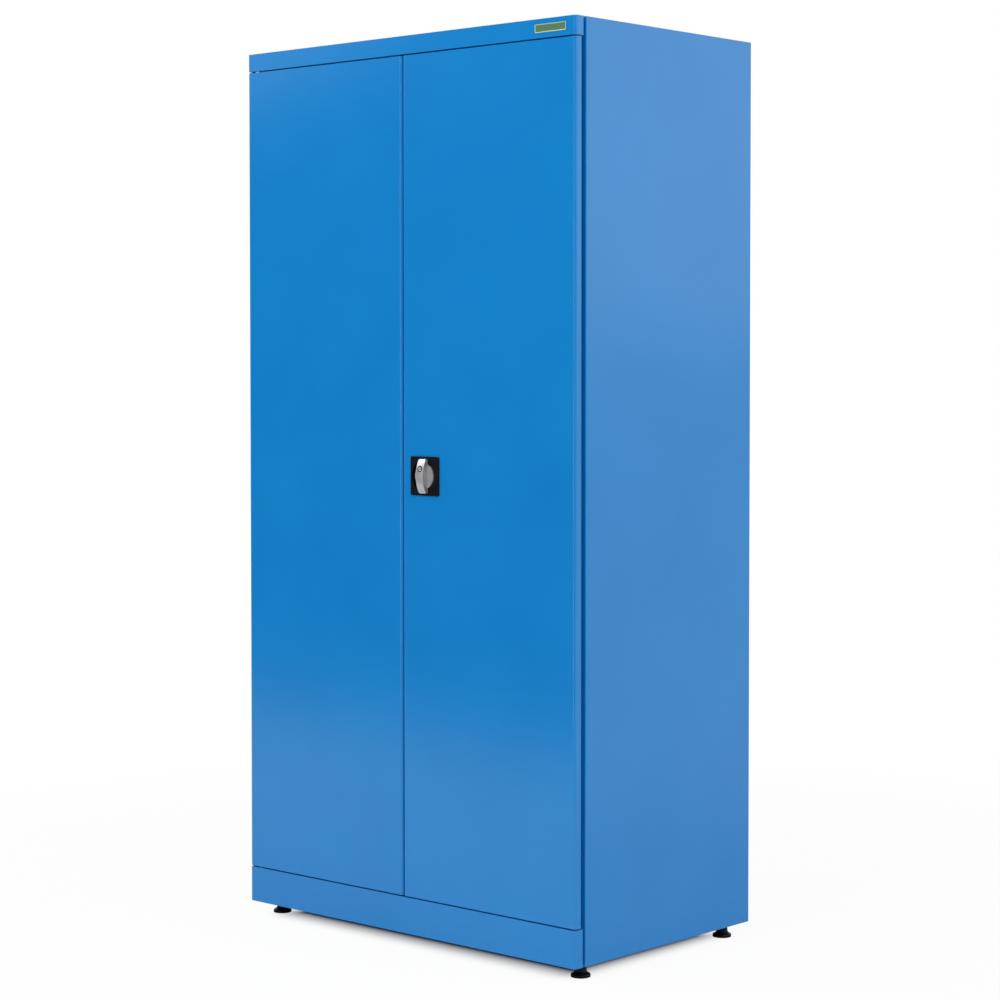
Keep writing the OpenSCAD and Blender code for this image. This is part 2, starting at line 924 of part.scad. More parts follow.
// Rack seen from the front: teeth to the left, on a bar that ends at the rod
module rack_plan() {
    half = rack_pitch / 4 - lash / 2;
    slant = tan(pressure);
    deep = rack_root * slant;
    high = rack_top * slant;
    translate([pitch_r + rack_root, -rack_low])
        square([rack_back - pitch_r - rack_root, rack_low + rack_high]);
    for (i = [0 : rack_teeth - 1]) {
        z = (i - rack_teeth + 2.5) * rack_pitch;
        polygon([
            [pitch_r + rack_root, z - half - deep],
            [pitch_r - rack_top, z - half + high],
            [pitch_r - rack_top, z + half - high],
            [pitch_r + rack_root, z + half + deep]
        ]);
    }
}

// The rack and the rod above it, about the spindle, with the rod's tip at the height given
module lock_rod(tip) {
    translate([0, rack_t / 2, 0]) rotate([90, 0, 0]) linear_extrude(rack_t) rack_plan();
    translate([rod_off, 0, rack_high]) cylinder(d = rod_d, h = tip - rack_high - tip_l);
    translate([rod_off, 0, tip - tip_l]) cylinder(d1 = rod_d, d2 = tip_d, h = tip_l);
}

module upper_rod() {
    color(steel) translate([lock_x, rod_y, lock_z]) lock_rod(door_z1 - lock_z);
}

module lower_rod() {
    color(steel) translate([lock_x, rod_y, lock_z]) rotate([0, 180, 0])
        lock_rod(lock_z - door_z0);
}

// Lock

function polar(r, a) = [r * cos(a), r * sin(a)];
function involute_turn(a) = tan(a) * 180 / PI - a;
function flank(r) = 90 / teeth + involute_turn(pressure) - involute_turn(acos(base_r / r))
    - lash / 2 / pitch_r * 180 / PI;

// One tooth's outline, root to root, with true involute flanks
function tooth(a) = let(
    n = 6,
    radii = [for (i = [0 : n]) base_r + 0.001 + i * (tip_r - base_r - 0.001) / n]
) concat(
    [polar(root_r, a - flank(radii[0]))],
    [for (r = radii) polar(r, a - flank(r))],
    [for (i = [n : -1 : 0]) polar(radii[i], a + flank(radii[i]))],
    [polar(root_r, a + flank(radii[0]))]
);

module drive_pinion() {
    color(steel) translate([lock_x, rod_y, lock_z]) rotate([90, 0, 0]) difference() {
        union() {
            translate([0, 0, -rack_t / 2]) linear_extrude(rack_t)
                polygon([for (i = [0 : teeth - 1], p = tooth(i * 360 / teeth)) p]);
            translate([0, 0, rod_y - case_back + seat_gap])
                cylinder(d = hub_d, h = case_back - skin_back - case_floor - 2 * seat_gap);
        }
        translate([0, 0, rod_y - cover_back])
            cylinder(d = spindle_d, h = cover_back - front);
    }
}

module lock_case() {
    z = case_h / 2;
    color(steel) difference() {
        translate([lock_x - case_half, skin_back, lock_z - z])
            cube([2 * case_half, case_back - skin_back, case_h]);
        translate([lock_x - case_half + case_wall, skin_back + case_floor, lock_z - z + case_floor])
            cube([2 * (case_half - case_wall), case_back - skin_back, case_h - 2 * case_floor]);
        translate([lock_x + rod_off, rod_y, lock_z]) cylinder(d = rod_hole, h = case_h);
        translate([lock_x - rod_off, rod_y, lock_z - case_h]) cylinder(d = rod_hole, h = case_h);
        bar_y(lock_x, lock_z, skin_back - through, case_back, spindle_d + 2 * run_fit);
        for (s = [-1, 1])
            bar_y(lock_x, lock_z + s * screw_z, skin_back - through, case_back, peg_screw_d);
        at_cover_screws()
            bar_y(0, 0, case_back - cover_screw_l, case_back + through, cover_screw_d);
    }
}

module at_cover_screws() {
    for (sx = [-1, 1], sz = [-1, 1])
        translate([lock_x + sx * (case_half - case_wall / 2), 0, lock_z + sz * cover_screw_z])
            children();
}

module case_cover() {
    color(steel) difference() {
        plate_y(lock_x, lock_z, case_back, cover_back) rounded(2 * case_half, case_h, 2);
        bar_y(lock_x, lock_z, case_back - through, cover_back + through, spindle_d + 2 * run_fit);
        at_cover_screws() bar_y(0, 0, case_back - through, cover_back + through, cover_screw_d);
    }
}

// Crossed driver slits in a screw head of diameter d whose top is at y
module cross_slits(x, z, y, d) {
    for (size = [[slit_w, 0.7 * d], [0.7 * d, slit_w]])
        translate([x - size.x / 2, y - slit_deep, z - size.y / 2])
            cube([size.x, slit_deep + through, size.y]);
}

module case_screws() {
    color(steel) at_cover_screws() difference() {
        union() {
            bar_y(0, 0, case_back - cover_screw_l, cover_back, cover_screw_d);
            bar_y(0, 0, cover_back, cover_back + head_t, 1.6 * cover_screw_d);
        }
        cross_slits(0, 0, cover_back + head_t, 1.6 * cover_screw_d);
    }
}

module plate_screws() {
    y = skin_back + case_floor;
    color(steel) for (s = [-1, 1]) difference() {
        union() {
            bar_y(lock_x, lock_z + s * screw_z, plate_face + peg_skin, y, peg_screw_d);
            bar_y(lock_x, lock_z + s * screw_z, y, y + 2 * head_t, peg_d);
        }
        cross_slits(lock_x, lock_z + s * screw_z, y + 2 * head_t, peg_d);
    }
}

// Plate on the door front, dished under the handle, with a collar and two pegs through the door
module lock_plate() {
    color(black) difference() {
        union() {
            plate_y(lock_x, lock_z, plate_face, front) rounded(plate_w, plate_w, plate_r);
            bar_y(lock_x, lock_z, front, skin_back, boss_d + 2 * collar_wall);
            for (s = [-1, 1]) bar_y(lock_x, lock_z + s * screw_z, front, skin_back, peg_d);
        }
        translate([lock_x, plate_face + recess_depth, lock_z]) rotate([90, 0, 0])
            cylinder(d1 = recess_d, d2 = dish_d, h = recess_depth);
        bar_y(lock_x, lock_z, plate_face, skin_back + through, boss_d + 2 * run_fit);
        for (s = [-1, 1])
            bar_y(lock_x, lock_z + s * screw_z, plate_face + peg_skin, skin_back + through,
                peg_screw_d);
    }
}

// Grip, round base and boss in one casting; the grip's front is an arch
module handle_grip() {
    color(silver) difference() {
        union() {
            bar_y(lock_x, lock_z, plate_face - disc_t, plate_face + recess_depth - seat_gap, disc_d);
            bar_y(lock_x, lock_z, front, skin_back - seat_gap, boss_d);
            bar_y(lock_x, lock_z, plate_face, front, boss_d);
            intersection() {
                plate_y(lock_x, lock_z, plate_face - grip_h - through, plate_face - grip_gap)
                    rounded(grip_w, grip_l, grip_r);
                translate([lock_x - grip_w, arch_y, lock_z]) rotate([0, 90, 0])
                    cylinder(r = arch_r, h = 2 * grip_w);
            }
        }
        bar_y(lock_x, lock_z, plate_face - disc_t, skin_back, spindle_d);
        bar_y(lock_x, lock_z + key_up, plate_face - 2 * grip_h, key_face + key_depth, key_ring_d);
    }
}

module key_ring() {
    color(black) difference() {
        bar_y(lock_x, lock_z + key_up, key_face, key_face + key_depth, key_ring_d);
        bar_y(lock_x, lock_z + key_up, key_face - through, key_face + key_depth + through,
            key_bore);
    }
}

module key_cylinder() {
    color(silver) difference() {
        bar_y(lock_x, lock_z + key_up, key_face + key_sunk, key_face + key_depth - seat_gap,
            key_d);
        translate([lock_x - keyway_w / 2, key_face - through, lock_z + key_up - keyway_h / 2])
            cube([keyway_w, keyway_l + through, keyway_h]);
    }
}

module lock_spindle() {
    color(steel) {
        bar_y(lock_x, lock_z, plate_face - disc_t, cam_y + cam_t, spindle_d);
        bar_y(lock_x, lock_z, cover_back + seat_gap, cam_y, hub_d);
    }
}

module lock_cam() {
    tip = 0.35 * cam_w;
    color(steel) difference() {
        plate_y(lock_x, lock_z, cam_y, cam_y + cam_t) {
            circle(cam_w / 2 + 1);
            polygon([
                [-cam_w / 2, 0], [cam_w / 2, 0],
                [tip, cam_l - tip], [-tip, cam_l - tip]
            ]);
            translate([0, cam_l - tip]) circle(tip);
        }
        bar_y(lock_x, lock_z, cam_y - through, cam_y + cam_t + through, spindle_d);
    }
}

module cam_screw() {
    y = cam_y + cam_t;
    color(steel) {
        bar_y(lock_x, lock_z, y, y + head_t, spindle_d + 5);
        translate([lock_x, y + head_t, lock_z]) rotate([-90, 0, 0])
            cylinder(d = cam_screw_d, h = cam_screw_h, $fn = 6);
    }
}

left_side();
right_side();
left_post();
right_post();
back_panel();
roof_panel();
floor_panel();
header();
plinth();
nameplate();
foot_brackets();
foot_nuts();
upright_left_front();
upright_left_rear();
upright_right_front();
upright_right_rear();
shelf_1();
shelf_2();
shelf_3();
shelf_4();
shelf_5();
shelf_6();
shelf_clips();
back_rivets();
hinge_pins();
door_buffers();
left_door();
left_stiffener();
left_bushes();
left_bolt_guides();
left_top_bolt();
left_bottom_bolt();
right_door();
right_stiffener();
right_bushes();
rod_guides();
lock_plate();
lock_case();
case_cover();
case_screws();
plate_screws();
handle_grip();
key_ring();
lock_spindle();
drive_pinion();
lock_cam();
cam_screw();
key_cylinder();
upper_rod();
lower_rod();
foot_front_left();
foot_front_right();
foot_rear_left();
foot_rear_right();
stem_front_left();
stem_front_right();
stem_rear_left();
stem_rear_right();
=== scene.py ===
import json
import math
import bmesh
import bpy
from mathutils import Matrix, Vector


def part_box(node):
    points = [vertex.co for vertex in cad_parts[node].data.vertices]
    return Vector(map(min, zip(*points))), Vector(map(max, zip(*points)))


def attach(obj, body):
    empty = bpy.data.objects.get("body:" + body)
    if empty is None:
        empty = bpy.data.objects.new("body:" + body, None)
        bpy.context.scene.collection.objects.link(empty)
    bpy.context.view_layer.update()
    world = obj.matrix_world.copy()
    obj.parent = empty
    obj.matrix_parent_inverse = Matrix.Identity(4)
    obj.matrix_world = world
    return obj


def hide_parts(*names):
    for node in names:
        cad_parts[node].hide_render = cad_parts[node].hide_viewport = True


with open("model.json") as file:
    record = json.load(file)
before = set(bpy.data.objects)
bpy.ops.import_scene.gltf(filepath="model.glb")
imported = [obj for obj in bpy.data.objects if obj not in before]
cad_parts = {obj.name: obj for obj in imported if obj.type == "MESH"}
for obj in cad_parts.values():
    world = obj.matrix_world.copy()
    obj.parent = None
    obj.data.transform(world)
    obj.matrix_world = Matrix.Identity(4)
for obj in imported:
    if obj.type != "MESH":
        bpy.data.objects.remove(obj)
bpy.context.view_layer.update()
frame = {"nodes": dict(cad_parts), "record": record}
nodes = frame["nodes"]
mm = 0.001


# Helpers for meshes

joinSizes = {"weld": 0.002 * mm, "flatAngle": 0.1}      # the angle in degrees


def addObject(name, bm):
    mesh = bpy.data.meshes.new(name)
    bm.to_mesh(mesh)
    bm.free()
    thing = bpy.data.objects.new(name, mesh)
    bpy.context.scene.collection.objects.link(thing)
    return thing


def wearMaterial(piece, material):
    piece.data.materials.clear()
    piece.data.materials.append(material)


def meshPiece(name, bm, material, body, smoothAngle=35):
    for face in bm.faces:
        face.smooth = True
    for edge in bm.edges:
        if len(edge.link_faces) == 2 and edge.calc_face_angle(0) > math.radians(smoothAngle):
            edge.smooth = False
    piece = addObject(name, bm)
    even = piece.modifiers.new("evenShading", "WEIGHTED_NORMAL")    # large flats stay flat
    even.keep_sharp = True
    wearMaterial(piece, material)
    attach(piece, body)
    return piece


def wholeFaces(node):      # the node's triangles, joined again into flat faces
    bm = bmesh.new()
    bm.from_mesh(nodes[node].data)
    bmesh.ops.remove_doubles(bm, verts=bm.verts, dist=joinSizes["weld"])
    bmesh.ops.dissolve_limit(bm, angle_limit=math.radians(joinSizes["flatAngle"]),
                             use_dissolve_boundaries=False, verts=bm.verts, edges=bm.edges,
                             delimit=set())
    return bm


# Helpers for materials

def linearColour(hexCode):
    parts = [int(hexCode[i:i + 2], 16) / 255 for i in (0, 2, 4)]
    linear = [p / 12.92 if p <= 0.04045 else ((p + 0.055) / 1.055) ** 2.4 for p in parts]
    return (*linear, 1.0)


def addNode(tree, kind, settings=None, inputs=None, links=None):
    node = tree.nodes.new(kind)
    for name, value in (settings or {}).items():
        setattr(node, name, value)
    for name, value in (inputs or {}).items():
        node.inputs[name].default_value = value
    for name, socket in (links or {}).items():
        tree.links.new(socket, node.inputs[name])
    return node


def newMaterial(name, look):
    material = bpy.data.materials.new(name)
    material.use_nodes = True
    tree = material.node_tree
    tree.nodes.clear()
    shader = addNode(tree, "ShaderNodeBsdfPrincipled", None, look)
    addNode(tree, "ShaderNodeOutputMaterial", None, None, {"Surface": shader.outputs["BSDF"]})
    place = addNode(tree, "ShaderNodeTexCoord")
    return material, tree, shader, place.outputs["Object"]


def addNoise(tree, place, size, detail, **more):      # size: how large its features are, in metres
    noise = addNode(tree, "ShaderNodeTexNoise", None,
                    {"Scale": 1 / size, "Detail": detail, **more}, {"Vector": place})
    return noise.outputs["Fac"]


def addColour(tree, shader, factor, lowHex, highHex, low=0.3, high=0.7):
    ramp = addNode(tree, "ShaderNodeValToRGB", None, None, {"Fac": factor})
    ramp.color_ramp.elements[0].position = low
    ramp.color_ramp.elements[0].color = linearColour(lowHex)
    ramp.color_ramp.elements[1].position = high
    ramp.color_ramp.elements[1].color = linearColour(highHex)
    tree.links.new(ramp.outputs["Color"], shader.inputs["Base Color"])


def addRoughness(tree, shader, factor, middle, less, more):
    rough = addNode(tree, "ShaderNodeMapRange", None,
                    {"To Min": middle - less, "To Max": middle + more}, {"Value": factor})
    tree.links.new(rough.outputs["Result"], shader.inputs["Roughness"])


def addRelief(tree, shader, height, depth, strength):
    bump = addNode(tree, "ShaderNodeBump", None, {"Strength": strength, "Distance": depth},
                   {"Height": height})
    tree.links.new(bump.outputs["Normal"], shader.inputs["Normal"])


# Materials

powderSizes = {"grain": 1.2 * mm, "flow": 8 * mm, "cloud": 260 * mm, "relief": 0.14 * mm,
               "grainInColour": 0.35, "grainInRelief": 0.12, "roughness": 0.18}


def makePowderCoat(name, deepHex, paleHex):
    # Polyester powder baked on steel sheet. The eye sees a clear, even blue with a semi-gloss
    # skin, whose slow waves and fine grain soften every reflection. The grain is drawn coarser
    # than it is.
    material, tree, shader, place = newMaterial(
        name, {"Roughness": powderSizes["roughness"], "IOR": 1.5})
    grain = addNoise(tree, place, powderSizes["grain"], 2.0, Roughness=0.6)
    flow = addNoise(tree, place, powderSizes["flow"], 1.0)
    cloud = addNoise(tree, place, powderSizes["cloud"], 3.0)
    mixed = addNode(tree, "ShaderNodeMath", {"operation": "MULTIPLY_ADD"},
                    {1: powderSizes["grainInColour"]}, {0: grain, 2: cloud})
    addColour(tree, shader, mixed.outputs[0], deepHex, paleHex, low=0.4, high=0.95)
    addRoughness(tree, shader, grain, powderSizes["roughness"], less=0.03, more=0.05)
    relief = addNode(tree, "ShaderNodeMath", {"operation": "MULTIPLY_ADD"},
                     {1: powderSizes["grainInRelief"]}, {0: grain, 2: flow})
    addRelief(tree, shader, relief.outputs[0], powderSizes["relief"], strength=1.0)
    return material


zincSizes = {"spangle": 7 * mm, "draw": 0.6 * mm, "relief": 0.01 * mm}


def makeBrightZinc(name, paleHex, deepHex, roughness):
    # Bright zinc plate with a clear passivate on cold-rolled steel: a cool grey metal with a faint
    # cloudiness and soft highlights.
    material, tree, shader, place = newMaterial(name, {"Metallic": 1.0, "Roughness": roughness})
    cloud = addNoise(tree, place, zincSizes["spangle"], 4.0)
    addColour(tree, shader, cloud, deepHex, paleHex)
    addRoughness(tree, shader, cloud, roughness, less=0.07, more=0.09)
    draw = addNoise(tree, place, zincSizes["draw"], 2.0)
    addRelief(tree, shader, draw, zincSizes["relief"], strength=0.5)
    return material


mouldedSizes = {"grain": 0.5 * mm, "relief": 0.02 * mm}


def makeMoulded(name, deepHex, paleHex, roughness, ior, gloss=0.5):
    # Plastic or rubber with the fine spark-eroded grain of its mould, or enamel flowed on metal:
    # one even colour with a quiet, slightly broken highlight.
    material, tree, shader, place = newMaterial(
        name, {"Roughness": roughness, "IOR": ior, "Specular IOR Level": gloss})
    grain = addNoise(tree, place, mouldedSizes["grain"], 2.0)
    addColour(tree, shader, grain, deepHex, paleHex)
    addRoughness(tree, shader, grain, roughness, less=0.05, more=0.06)
    addRelief(tree, shader, grain, mouldedSizes["relief"], strength=0.6)
    return material


castSizes = {"blast": 0.35 * mm, "tone": 14 * mm, "relief": 0.012 * mm}


def makeSatinMetal(name, paleHex, deepHex, roughness, metallic):
    # Blasted metal under silver lacquer, nickel or a satin finish: pale grey with wide, milky
    # highlights.
    material, tree, shader, place = newMaterial(
        name, {"Metallic": metallic, "Roughness": roughness})
    blast = addNoise(tree, place, castSizes["blast"], 3.0)
    tone = addNoise(tree, place, castSizes["tone"], 2.0)
    addColour(tree, shader, tone, deepHex, paleHex)
    addRoughness(tree, shader, blast, roughness, less=0.04, more=0.05)
    addRelief(tree, shader, blast, castSizes["relief"], strength=0.4)
    return material


coatBlue = makePowderCoat("powderCoatBlue", "057ac2", "0a80c8")
brightZinc = makeBrightZinc("brightZincPlate", "cfd2d6", "b4b8be", 0.3)
blackPlastic = makeMoulded("blackAbs", "0a090d", "0f0e14", 0.42, 1.5, 0.18)
blackRubber = makeMoulded("blackNitrileRubber", "141414", "1c1c1c", 0.62, 1.52)
blackAcetal = makeMoulded("blackAcetal", "0d0d0e", "151516", 0.42, 1.48)
# Painted shade: a near-black for the lock plate's dish, glossier than the plate and drawn darker
# for the shade in the recess, and for the key cylinder's keyway, standing for the shade inside the
# slot.
glossBlackPaintedShade = makeMoulded("glossBlackWithPaintedShade", "040405", "060607", 0.2, 1.5, 0.18)
silverLacquer = makeSatinMetal("silverLacquerOnZincCasting", "c8c6ca", "b6b5ba", 0.48, 0.85)
keyNickel = makeSatinMetal("brightNickelBrass", "e6e3de", "d8d5cf", 0.5, 0.7)
badgeGreen = makeMoulded("greenEnamelOnAluminium", "4a7348", "547d50", 0.3, 1.5)
badgeSilver = makeSatinMetal("satinAluminium", "bccdc1", "aabdb0", 0.5, 0.7)
# Painted shade: the hinge pins' zinc is drawn darker for the shade in the door gaps where they
# show.
pinZincPaintedShade = makeBrightZinc("zincPlateWithPaintedShade", "5d6064", "484b4f", 0.38)

slotLooks = {
    "cabinet_blue_paint": coatBlue, "zinc_plated_steel": brightZinc, "black_plastic": blackPlastic,
    "black_rubber": blackRubber, "black_acetal": blackAcetal, "handle_zinc": silverLacquer,
    "key_metal": keyNickel, "nameplate_face": badgeGreen,
}
for part in frame["record"]["subparts"]:
    wearMaterial(nodes[part["node"]], slotLooks[part["material_slot"]])
wearMaterial(nodes["hinge_pins"], pinZincPaintedShade)
print("materials on", len(nodes), "nodes")


# Folded sheet pieces with the small radius of their level folds

foldSizes = {
    "segments": 3, "reach": 0.05 * mm, "endBand": 12 * mm, "offSquare": 0.1,
    "header": 0.7 * mm, "plinth": 1.1 * mm, "left_door": 1.5 * mm, "right_door": 1.5 * mm,
}


def foldedPiece(node, body):
    low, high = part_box(node)
    bm = wholeFaces(node)
    reach = foldSizes["reach"]
    band = foldSizes["endBand"]

    def outer(edge):       # a long outer edge between the front or an end and the top or bottom
        a, b = (v.co for v in edge.verts)
        level = any(abs(a.z - z) < reach and abs(b.z - z) < reach for z in (low.z, high.z))
        rim = all(p.y < low.y + reach or not low.x + band < p.x < high.x - band for p in (a, b))
        angle = edge.calc_face_angle(0) if len(edge.link_faces) == 2 else 0
        square = abs(angle - math.pi / 2) < foldSizes["offSquare"]
        clearOfBack = min(a.y, b.y) < high.y - reach
        return level and rim and square and clearOfBack and edge.is_convex
    bmesh.ops.bevel(bm, geom=[e for e in bm.edges if outer(e)], affect="EDGES",
                    offset=foldSizes[node], segments=foldSizes["segments"], profile=0.5,
                    material=-1, clamp_overlap=True)
    piece = meshPiece(node + "_folded", bm, coatBlue, body)
    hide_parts(node)


foldedPiece("header", "carcass")
foldedPiece("plinth", "carcass")
foldedPiece("left_door", "left_door_body")
foldedPiece("right_door", "right_door_body")
print("folded fronts")


# Cast and moulded pieces of the lock's front, with soft edges

lockSizes = {
    "sharpAngle": 40, "plateSmooth": 5,
    "grip": 0.9 * mm, "plate": 0.5 * mm, "ring": 0.3 * mm, "cylinder": 0.2 * mm,
    "dish": 37.6 * mm, "dishDepth": 0.05 * mm, "keyway": 4.4 * mm, "keywayDepth": 0.2 * mm,
}


def softEdges(node, body, material, width, segments=3, smoothAngle=35):
    bm = wholeFaces(node)
    sharp = [e for e in bm.edges if len(e.link_faces) == 2
             and e.calc_face_angle(0) > math.radians(lockSizes["sharpAngle"])]
    bmesh.ops.bevel(bm, geom=sharp, affect="EDGES", offset=width, segments=segments, profile=0.5,
                    material=-1, clamp_overlap=True)
    piece = meshPiece(node + "_soft", bm, material, body, smoothAngle)
    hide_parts(node)
    return piece


def recessGlossAndPaintedShade(piece, material, depth, reach):
    # A second material on what lies deeper than the front face, within reach of the middle. In the
    # lock plate's dish it is a smoother black, drawn darker as painted shade of the recess; in the
    # key cylinder's keyway it is painted shade.
    points = [v.co for v in piece.data.vertices]
    low, high = (Vector(limit(p[i] for p in points) for i in range(3)) for limit in (min, max))
    middle = (low + high) / 2
    piece.data.materials.append(material)
    for face in piece.data.polygons:
        away = math.hypot(face.center.x - middle.x, face.center.z - middle.z)
        if face.center.y > low.y + depth and away < reach and face.center.y < high.y - depth:
            face.material_index = 1


softEdges("handle_grip", "handle", silverLacquer, lockSizes["grip"])
plate = softEdges("lock_plate", "right_door_body", blackPlastic,
                  lockSizes["plate"], smoothAngle=lockSizes["plateSmooth"])
# The dish is a smoother black than the plate, and its darker colour is painted shade of the recess.
recessGlossAndPaintedShade(plate, glossBlackPaintedShade, lockSizes["dishDepth"], lockSizes["dish"])
softEdges("key_ring", "handle", blackPlastic, lockSizes["ring"], 2)
cylinder = softEdges("key_cylinder", "key", keyNickel, lockSizes["cylinder"], 2)
# Painted shade: the keyway is drawn black for the shade inside the slot.
recessGlossAndPaintedShade(cylinder, glossBlackPaintedShade, lockSizes["keywayDepth"], lockSizes["keyway"])
print("lock front")


# Levelling feet, turned in one piece

footSizes = {
    "rimTop": 6.4 * mm, "neck": 12.5 * mm, "neckFrom": 16 * mm,
    "flare": ((5.5 * mm, 7.6 * mm), (2.2 * mm, 9.6 * mm), (0.5 * mm, 12.6 * mm)),
    "baseRound": 0.6 * mm, "baseSegments": 3, "rimRound": 2.2 * mm, "rimSegments": 5,
    "segments": 96, "near": 0.001 * mm,
}


def makeFoot(place):
    node = "foot_" + place
    low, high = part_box(node)
    centre = Vector(((low.x + high.x) / 2, (low.y + high.y) / 2, 0))
    r = (high.x - low.x) / 2
    neck = footSizes["neck"]
    top = footSizes["rimTop"]
    near = footSizes["near"]
    bm = bmesh.new()
    outline = [(0, low.z), (r, low.z), (r, top),
               *((neck + out, up) for out, up in footSizes["flare"]),
               (neck, footSizes["neckFrom"]), (neck, high.z), (0, high.z)]
    verts = [bm.verts.new((x, 0, z)) for x, z in outline]
    for pair in zip(verts, verts[1:]):
        bm.edges.new(pair)
    bmesh.ops.bevel(bm, geom=[verts[1]], affect="VERTICES", offset=footSizes["baseRound"],
                    segments=footSizes["baseSegments"], profile=0.5, material=-1)
    rim = [v for v in bm.verts if abs(v.co.x - r) < near and abs(v.co.z - top) < near]
    bmesh.ops.bevel(bm, geom=rim, affect="VERTICES", offset=footSizes["rimRound"],
                    segments=footSizes["rimSegments"], profile=0.5, material=-1)
    bmesh.ops.spin(bm, geom=list(bm.verts) + list(bm.edges), axis=(0, 0, 1), cent=(0, 0, 0),
                   angle=math.tau, steps=footSizes["segments"], use_merge=True)
    bmesh.ops.remove_doubles(bm, verts=bm.verts, dist=near)
    bmesh.ops.recalc_face_normals(bm, faces=bm.faces)
    bmesh.ops.translate(bm, verts=bm.verts, vec=centre)
    piece = meshPiece("turned_" + node, bm, blackPlastic, "levelling_foot_" + place, 50)
    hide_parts(node)


for place in ("front_left", "front_right", "rear_left", "rear_right"):
    makeFoot(place)
print("feet")


# Blank badge: a thin metal rim round an enamelled field

badgeSizes = {
    "rim": 1.8 * mm, "sunk": 0.35 * mm, "round": 2 * mm, "segments": 6,
    "enamel": 0.1 * mm, "offBack": 0.2 * mm, "runsBack": 0.1 * mm,
}


def makeBadge():
    low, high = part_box("nameplate")
    centre = (low + high) / 2
    size = high - low

    def block(grow, back, front):
        bm = bmesh.new()
        bmesh.ops.create_cube(bm, size=1)
        bmesh.ops.scale(bm, verts=bm.verts,
                        vec=(size.x - 2 * grow, back - front, size.z - 2 * grow))
        bmesh.ops.translate(bm, verts=bm.verts,
                            vec=(centre.x, (back + front) / 2, centre.z))
        corners = [e for e in bm.edges
                   if abs(e.verts[0].co.y - e.verts[1].co.y) > badgeSizes["runsBack"]]
        bmesh.ops.bevel(bm, geom=corners, affect="EDGES", offset=badgeSizes["round"] - grow,
                        segments=badgeSizes["segments"], profile=0.5, material=-1)
        return bm
    bm = block(0, high.y, low.y)
    front = [f for f in bm.faces if f.normal.y < -0.9]
    made = bmesh.ops.inset_region(bm, faces=front, thickness=badgeSizes["rim"], depth=0)
    sunk = [f for f in bm.faces if f.normal.y < -0.9 and f not in made["faces"]]
    bmesh.ops.translate(bm, verts=list({v for f in sunk for v in f.verts}),
                        vec=(0, badgeSizes["sunk"], 0))
    rim = meshPiece("badge_rim", bm, badgeSilver, "carcass")
    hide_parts("nameplate")
    inside = block(badgeSizes["rim"], high.y - badgeSizes["offBack"],
                   low.y + badgeSizes["sunk"] - badgeSizes["enamel"])
    field = meshPiece("badge_field", inside, badgeGreen, "carcass")


makeBadge()
print("badge")


# Studio

studioSizes = {
    "floor": 60.0, "floorGrey": "f0f0f0",
    "shadeX": 0.416, "shadeY": 0.209, "fadeX": 0.08, "fadeY": 0.11, "shadeLeft": 0.06,
    "whiteFrom": 1.5, "whiteTo": 2.8, "worldLevel": 0.53,
}


def mirrored(tree, seen):      # 1 for what is seen in a reflection or through something clear
    either = addNode(tree, "ShaderNodeMath", {"operation": "MAXIMUM"}, None,
                     {0: seen.outputs["Is Glossy Ray"], 1: seen.outputs["Is Transmission Ray"]})
    return either.outputs[0]


def mixShaders(tree, factor, first, second):
    mix = addNode(tree, "ShaderNodeMixShader", None, None, {0: factor, 1: first, 2: second})
    return mix.outputs[0]


def makeWorld():
    world = bpy.data.worlds.new("studioAir")
    bpy.context.scene.world = world
    world.use_nodes = True
    tree = world.node_tree
    tree.nodes.clear()
    seen = addNode(tree, "ShaderNodeLightPath")
    white = addNode(tree, "ShaderNodeMath", {"operation": "MAXIMUM"}, None,
                    {0: seen.outputs["Is Camera Ray"], 1: mirrored(tree, seen)})
    soft = addNode(tree, "ShaderNodeBackground", None,
                   {"Color": (1, 1, 1, 1), "Strength": studioSizes["worldLevel"]})
    plain = addNode(tree, "ShaderNodeBackground", None, {"Color": (1, 1, 1, 1), "Strength": 1.0})
    air = mixShaders(tree, white.outputs[0], soft.outputs[0], plain.outputs[0])
    addNode(tree, "ShaderNodeOutputWorld", None, None, {"Surface": air})


